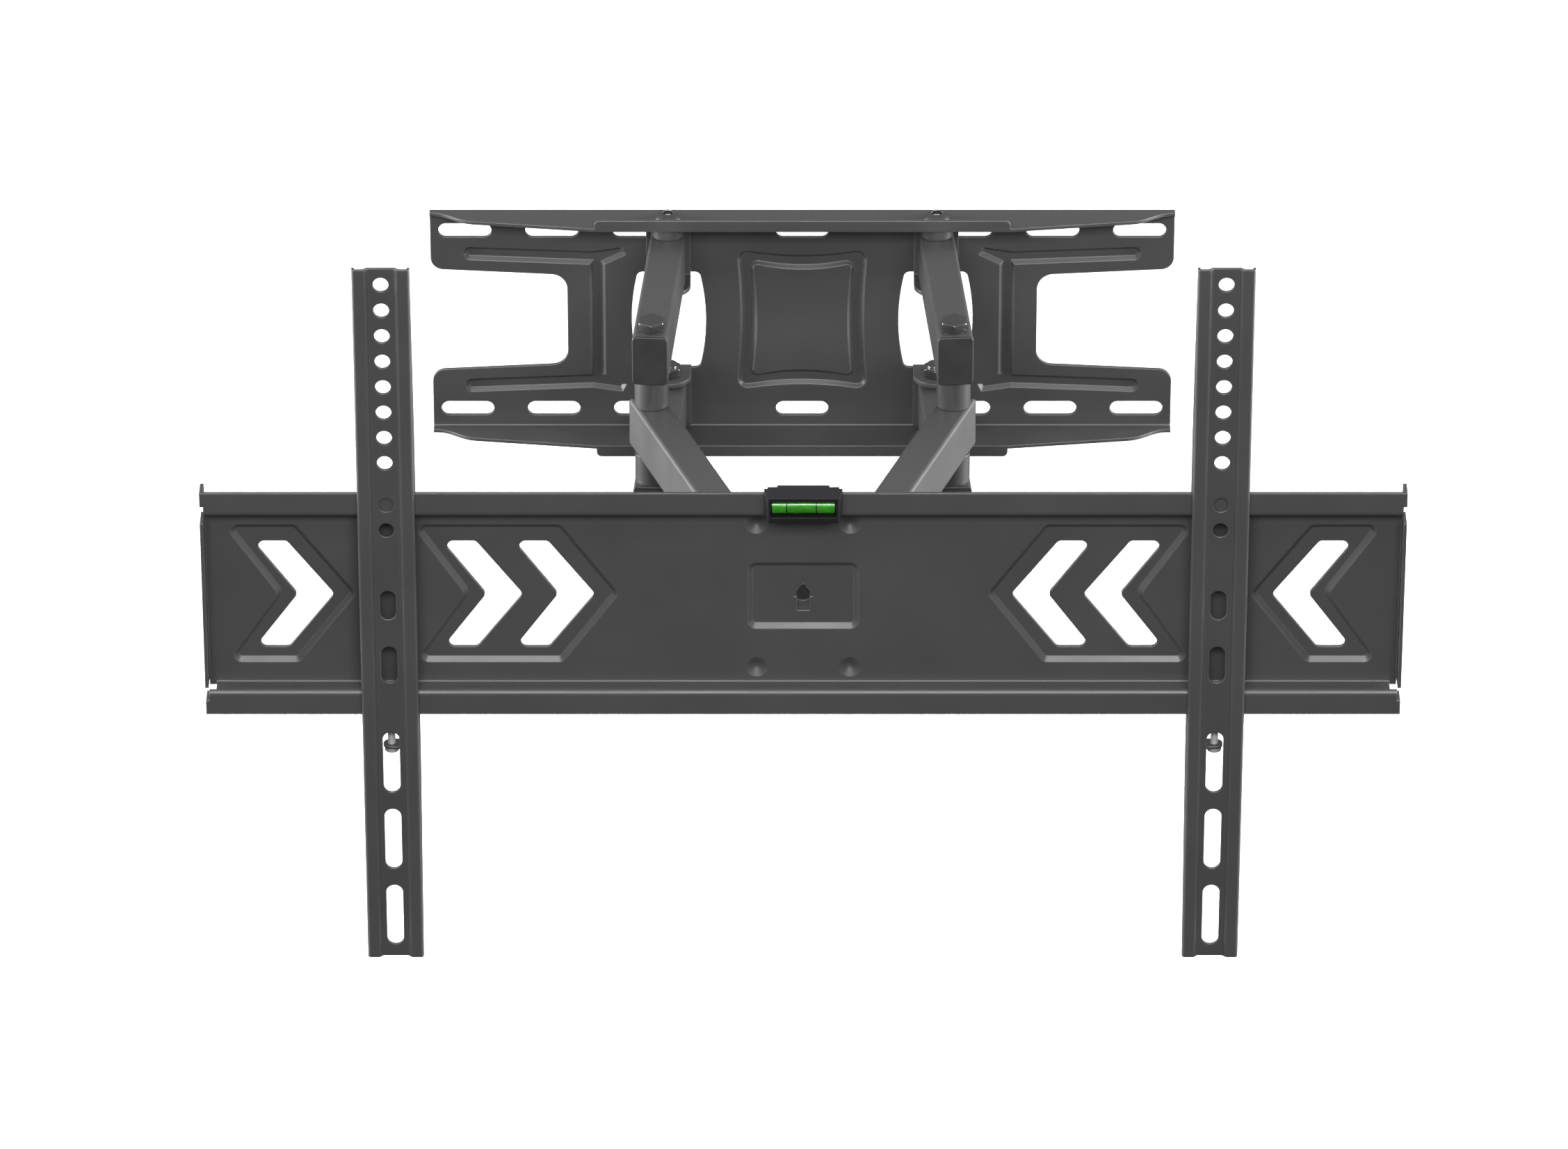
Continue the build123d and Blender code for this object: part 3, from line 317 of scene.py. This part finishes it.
def platedSteel(name, values):
    material, tree, shader = startMaterial(name)
    place = tree.nodes.new("ShaderNodeTexCoord")
    smears = addNoise(tree, place, values["smearScale"], 4.0)
    addBody(
        tree, shader, smears, values["colour"], values["dull"],
        values["smearSpread"], values["roughness"],
    )
    shader.inputs["Metallic"].default_value = values["metallic"]
    addBump(tree, shader, smears, values["smearStrength"], values["smearDepth"])
    return material


vialSettings = {
    "liquidColour": (0.13, 0.70, 0.04, 1.0),
    "liquidDeep": (0.03, 0.36, 0.03, 1.0),
    "liquidRoughness": 0.12,
    "bubbleColour": (0.62, 0.80, 0.06, 1.0),
    "bubbleDeep": (0.80, 0.90, 0.20, 1.0),
    "bubbleRoughness": 0.2,
    "bend": 1.45,
    "clear": 0.75,
    "cloudScale": 180.0,
    "cloudStrength": 0.05,
    "cloudDepth": 0.00002,
}


# tinted liquid in a clear tube, clouded with a second tone
def tintedLiquid(name, tone, values):
    material, tree, shader = startMaterial(name)
    place = tree.nodes.new("ShaderNodeTexCoord")
    cloud = addNoise(tree, place, values["cloudScale"], 2.0)
    body = addMix(tree, cloud.outputs["Fac"], values[tone + "Colour"], values[tone + "Deep"])
    tree.links.new(body.outputs[2], shader.inputs["Base Color"])
    shader.inputs["Roughness"].default_value = values[tone + "Roughness"]
    shader.inputs["IOR"].default_value = values["bend"]
    shader.inputs["Transmission Weight"].default_value = values["clear"]
    addBump(tree, shader, cloud, values["cloudStrength"], values["cloudDepth"])
    return material


# one finish for each material slot of the frame
finishes = {
    "powder_coat": coatedMetal("powderCoat", coatSettings),
    "spacer_coat": coatedMetal("spacerCoat", spacerSettings),
    "cast_head": coatedMetal("castHead", castSettings),
    "black_fastener": coatedMetal("blackFastener", fastenerSettings),
    "end_cap": mouldedPlastic("endCap", "cap", plasticSettings),
    "bush_nylon": mouldedPlastic("bushNylon", "bush", plasticSettings),
    "level_plastic": mouldedPlastic("levelPlastic", "level", plasticSettings),
    "ring_black": mouldedPlastic("ringBlack", "ring", plasticSettings),
    "vial_green": tintedLiquid("vialGreen", "liquid", vialSettings),
    "bubble_air": tintedLiquid("bubbleAir", "bubble", vialSettings),
    "bright_screw": platedSteel("brightScrew", chromeSettings),
}

for entry in frame["record"]["subparts"]:
    piece = nodes[entry["node"]]
    piece.data.materials.clear()
    piece.data.materials.append(finishes[entry["material_slot"]])
print("finishes given to the frame's nodes")


meshSettings = {
    "joinDistance": 0.000001,
    "spinJoinDistance": 0.0000001,
    "islandJoinDistance": 0.000002,
    "sharpDegrees": 34,
}


# turns a finished mesh into a piece that stands for a node
def addPiece(name, shape, node, slotName):
    bmesh.ops.remove_doubles(shape, verts=shape.verts[:], dist=meshSettings["joinDistance"])
    bmesh.ops.recalc_face_normals(shape, faces=shape.faces[:])
    mesh = bpy.data.meshes.new(name)
    shape.to_mesh(mesh)
    shape.free()
    for face in mesh.polygons:
        face.use_smooth = True
    mesh.materials.append(finishes[slotName])
    piece = bpy.data.objects.new(name, mesh)
    bpy.context.scene.collection.objects.link(piece)
    mesh.set_sharp_from_angle(angle=math.radians(meshSettings["sharpDegrees"]))
    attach(piece, nodes[node]["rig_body"])
    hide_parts(node)
    return piece


# spins an outline of (radius, height) pairs round the upright axis
def spinOutline(shape, outline, steps):
    rim = [shape.verts.new((radius, 0.0, height)) for radius, height in outline]
    line = [shape.edges.new(pair) for pair in zip(rim, rim[1:])]
    bmesh.ops.spin(
        shape, geom=rim + line, axis=(0.0, 0.0, 1.0), cent=(0.0, 0.0, 0.0),
        steps=steps, angle=math.tau, use_merge=True,
    )
    bmesh.ops.remove_doubles(shape, verts=shape.verts[:], dist=meshSettings["spinJoinDistance"])


# a hexagon across its flats, on the upright axis, with its middle at a height
def makeHexagon(shape, values, middle, turn=0.0):
    corner = values["across"] / 2 / math.cos(math.radians(30))
    place = Matrix.Translation((0.0, 0.0, middle)) @ Matrix.Rotation(turn, 4, "Z")
    bmesh.ops.create_cone(
        shape, cap_ends=True, cap_tris=False, segments=6, radius1=corner, radius2=corner,
        depth=values["height"], matrix=place,
    )


# cuts the given corners, then softens every edge
def softenHexagon(shape, values, corners):
    bmesh.ops.bevel(
        shape, geom=corners, offset=values["cornerCut"], segments=1, profile=0.5,
        affect="VERTICES", material=-1,
    )
    bmesh.ops.bevel(
        shape, geom=shape.edges[:], offset=values["softEdge"], segments=2, profile=0.5,
        affect="EDGES", material=-1,
    )


# winds a tooth round and up a core, from a starting height
def windThread(shape, core, crest, start, turns, values):
    pitch = values["pitch"]
    foot = core - values["toothSink"]
    tooth = [
        shape.verts.new((foot, 0.0, start)),
        shape.verts.new((crest, 0.0, start + pitch * values["crestShare"])),
        shape.verts.new((foot, 0.0, start + pitch * values["footShare"])),
    ]
    flank = [shape.edges.new(pair) for pair in zip(tooth, tooth[1:])]
    steps = values["stepsPerTurn"]
    bmesh.ops.spin(
        shape, geom=tooth + flank, axis=(0.0, 0.0, 1.0), cent=(0.0, 0.0, 0.0),
        steps=turns * steps, angle=math.tau * turns, dvec=(0.0, 0.0, pitch / steps),
    )


# collarRoll has shares of the collar's radius and of its height, from outside to inside
nutSettings = {
    "across": 0.013,
    "height": 0.0054,
    "collar": 0.0019,
    "collarRadius": 0.0053,
    "collarSink": 0.0004,
    "collarRoll": ((1.0, 0.45), (0.96, 0.75), (0.86, 1.0), (0.74, 1.0)),
    "hole": 0.0036,
    "cornerCut": 0.0011,
    "softEdge": 0.00022,
    "spinSteps": 64,
}


# a locking nut that stands on z 0: hexagon, cut corners, and a nylon collar rolled into its top
def shapeNut(values, turn):
    shape = bmesh.new()
    makeHexagon(shape, values, values["height"] / 2, turn)
    softenHexagon(shape, values, shape.verts[:])
    hole = values["hole"]
    top = values["height"] + values["collar"]
    sunk = values["height"] - values["collarSink"]
    roll = [
        (values["collarRadius"] * outward, values["height"] + values["collar"] * upward)
        for outward, upward in values["collarRoll"]
    ]
    outline = [(hole, sunk), (values["collarRadius"], sunk)] + roll
    outline += [(hole, top - values["collarSink"]), (hole, sunk)]
    spinOutline(shape, outline, values["spinSteps"])
    return shape


# the box of each separate solid of a node, so a piece lands where the frame has it
def islandBoxes(node):
    shape = bmesh.new()
    shape.from_mesh(nodes[node].data)
    bmesh.ops.remove_doubles(shape, verts=shape.verts[:], dist=meshSettings["islandJoinDistance"])
    left = set(shape.verts)
    found = []
    while left:
        queue = [left.pop()]
        group = list(queue)
        while queue:
            for edge in queue.pop().link_edges:
                for vert in edge.verts:
                    if vert in left:
                        left.remove(vert)
                        queue.append(vert)
                        group.append(vert)
        low = Vector([min(v.co[i] for v in group) for i in range(3)])
        high = Vector([max(v.co[i] for v in group) for i in range(3)])
        found.append((low, high))
    shape.free()
    return found


# one piece for all the nuts of a node; a nut that faces down is turned over
def layNuts(name, node, turn, facesDown):
    whole = bmesh.new()
    for low, high in islandBoxes(node):
        middle = (low + high) / 2
        nut = shapeNut(nutSettings, turn)
        place = Matrix.Translation((middle.x, middle.y, low.z))
        if facesDown(middle):
            place = Matrix.Translation((middle.x, middle.y, high.z))
            place = place @ Matrix.Rotation(math.pi, 4, "X")
        bmesh.ops.transform(nut, matrix=place, verts=nut.verts[:])
        joined = bpy.data.meshes.new("joined")
        nut.to_mesh(joined)
        nut.free()
        whole.from_mesh(joined)
        bpy.data.meshes.remove(joined)
    addPiece(name, whole, node, "black_fastener")


layNuts("shoulderLockNuts", "shoulder_nuts", 0.0, lambda middle: middle.z > 0)
layNuts("elbowLockNutLeft", "elbow_nut_left", 0.0, lambda middle: True)
layNuts("elbowLockNutRight", "elbow_nut_right", 0.0, lambda middle: True)
layNuts("frontPivotLockNuts", "front_pivot_nuts", math.radians(30), lambda middle: True)
print("locking nuts laid")

hexSettings = {
    "across": 0.0138,
    "height": 0.0052,
    "headDrop": 0.0058,  # from the very top to the underside of the head
    "washer": 0.0005,
    "washerShare": 0.96,
    "washerTall": 0.0006,
    "cornerCut": 0.0008,
    "softEdge": 0.0002,
    "shank": 0.004,
    "shoulder": 0.0004,
    "coreShrink": 0.00022,
    "pointShare": 0.8,
    "pointTall": 0.0006,
    "pointMiddle": 0.0004,
    "pitch": 0.00125,
    "threadLength": 0.006,
    "threadSpare": 0.001,
    "toothSink": 0.0001,
    "crestShare": 0.5,
    "footShare": 0.95,
    "stepsPerTurn": 32,
    "spinSteps": 48,
}


# a long elbow bolt: washer face, hexagon head, plain shank, and a wound thread at its lower end
def makeElbowBolt(side, values):
    node = "elbow_bolt_" + side.lower()
    low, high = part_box(node)
    shape = bmesh.new()
    headLow = high.z - values["headDrop"]
    headMiddle = headLow + values["washer"] + values["height"] / 2
    makeHexagon(shape, values, headMiddle)
    softenHexagon(shape, values, [v for v in shape.verts if v.co.z > headMiddle])
    shank = values["shank"]
    core = shank - values["coreShrink"]
    threadLow = low.z + values["pointTall"]
    threadTop = low.z + values["threadLength"]
    washer = values["across"] / 2 * values["washerShare"]
    spinOutline(shape, [
        (values["pointMiddle"], low.z),
        (core * values["pointShare"], low.z),
        (core, threadLow),
        (core, threadTop),
        (shank, threadTop + values["shoulder"]),
        (shank, headLow),
        (washer, headLow),
        (washer, headLow + values["washerTall"]),
    ], values["spinSteps"])
    turns = int((values["threadLength"] - values["threadSpare"]) / values["pitch"])
    windThread(shape, core, shank, threadLow, turns, values)
    middle = (low + high) / 2
    place = Matrix.Translation((middle.x, middle.y, 0.0))
    bmesh.ops.transform(shape, matrix=place, verts=shape.verts[:])
    addPiece("elbowBolt" + side, shape, node, "black_fastener")


makeElbowBolt("Left", hexSettings)
makeElbowBolt("Right", hexSettings)
print("elbow bolts made")

screwSettings = {
    "headHeight": 0.003,
    "headRound": 0.0007,
    "headRoundShare": 0.3,
    "headUnderCut": 0.0003,
    "socketDepth": 0.0014,
    "socketRadius": 0.0013,
    "socketMouth": 0.0015,
    "socketLip": 0.0002,
    "shaftRadius": 0.0021,
    "coreShrink": 0.00018,
    "pointTall": 0.0009,
    "pointShare": 0.62,
    "middle": 0.0003,
    "pitch": 0.0007,
    "threadDepth": 0.00022,
    "threadStart": 0.0008,
    "threadSpare": 0.0026,
    "toothSink": 0.0001,
    "crestShare": 0.45,
    "footShare": 0.9,
    "stepsPerTurn": 28,
    "spinSteps": 64,
}


# a locking screw: a thread wound on its core, and a rounded head with a socket in it
def makeLockScrew(side, values):
    node = "lock_screw_" + side.lower()
    low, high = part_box(node)
    head = (high.x - low.x) / 2
    headHeight = values["headHeight"]
    headRound = values["headRound"]
    roundShare = values["headRoundShare"]
    underCut = values["headUnderCut"]
    socket = values["socketRadius"]
    core = values["shaftRadius"] - values["coreShrink"]
    tall = high.z - low.z
    shape = bmesh.new()
    spinOutline(shape, [
        (values["middle"], values["socketDepth"]),
        (socket, values["socketDepth"]),
        (socket, values["socketLip"]),
        (values["socketMouth"], 0.0),
        (head - headRound, 0.0),
        (head - headRound * roundShare, headRound * roundShare),
        (head, headRound),
        (head, headHeight - underCut),
        (head - underCut, headHeight),
        (core, headHeight),
        (core, tall - values["pointTall"]),
        (core * values["pointShare"], tall),
        (values["middle"], tall),
    ], values["spinSteps"])
    turns = int((tall - headHeight - values["threadSpare"]) / values["pitch"])
    crest = core + values["threadDepth"]
    windThread(shape, core, crest, headHeight + values["threadStart"], turns, values)
    # closes the socket's floor and the point
    holes = [e for e in shape.edges if e.is_boundary and e.verts[0].co.xy.length < socket]
    bmesh.ops.holes_fill(shape, edges=holes, sides=0)
    middle = (low + high) / 2
    place = Matrix.Translation((middle.x, middle.y, low.z))
    bmesh.ops.transform(shape, matrix=place, verts=shape.verts[:])
    addPiece("lockScrew" + side, shape, node, "bright_screw")


makeLockScrew("Left", screwSettings)
makeLockScrew("Right", screwSettings)
print("locking screws cut")


def makeFloor(values):
    shape = bmesh.new()
    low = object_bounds()[0]
    place = Matrix.Translation((0.0, 0.0, low[2] - values["floorDrop"]))
    bmesh.ops.create_grid(
        shape, x_segments=2, y_segments=2, size=values["floorSize"] / 2, matrix=place,
    )
    mesh = bpy.data.meshes.new("floor")
    shape.to_mesh(mesh)
    shape.free()
    floor = bpy.data.objects.new("floor", mesh)
    bpy.context.scene.collection.objects.link(floor)
    material, _, shader = startMaterial("floorPaper")
    shader.inputs["Base Color"].default_value = values["floorColour"]
    shader.inputs["Roughness"].default_value = values["floorRoughness"]
    mesh.materials.append(material)
    # the paper doesn't light the mount from below
    floor.visible_diffuse = False
    floor.visible_glossy = False
    floor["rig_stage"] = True


def makeCamera(values):
    data = bpy.data.cameras.new("camera")
    data.lens = values["lens"]
    data.sensor_width = values["sensor"]
    data.clip_end = values["clipEnd"]
    camera = bpy.data.objects.new("camera", data)
    camera.location = values["place"]
    camera.rotation_euler = (math.radians(values["tiltDegrees"]), 0.0, 0.0)
    bpy.context.scene.collection.objects.link(camera)
    bpy.context.scene.camera = camera


def makeLamp(name, place, target, size, power):
    data = bpy.data.lights.new(name, "AREA")
    data.shape = "RECTANGLE"
    data.size, data.size_y = size
    data.energy = power
    lamp = bpy.data.objects.new(name, data)
    lamp.location = place
    aim = Vector(target) - Vector(place)
    lamp.rotation_euler = aim.to_track_quat("-Z", "Y").to_euler()
    bpy.context.scene.collection.objects.link(lamp)


# soft light that comes from above more than from below
def fillSky(tree, values):
    heading = tree.nodes.new("ShaderNodeTexCoord")
    parts = tree.nodes.new("ShaderNodeSeparateXYZ")
    tree.links.new(heading.outputs["Generated"], parts.inputs["Vector"])
    height = addRange(tree, parts.outputs["Z"], values["skySpread"], (0.0, 1.0))
    blend = addMix(tree, height.outputs["Result"], values["lowColour"], values["highColour"])
    background = tree.nodes["Background"]
    tree.links.new(blend.outputs[2], background.inputs["Color"])
    background.inputs["Strength"].default_value = values["worldStrength"]


makeFloor(studio)
makeCamera(cameraSettings)
world = bpy.data.worlds.new("studio")
world.use_nodes = True
fillSky(world.node_tree, studio)
bpy.context.scene.world = world
for lampName, (place, target, size, power) in lamps.items():
    makeLamp(lampName, place, target, size, power)
bpy.context.scene.view_settings.view_transform = "Standard"
print("floor, lamps and camera in place")
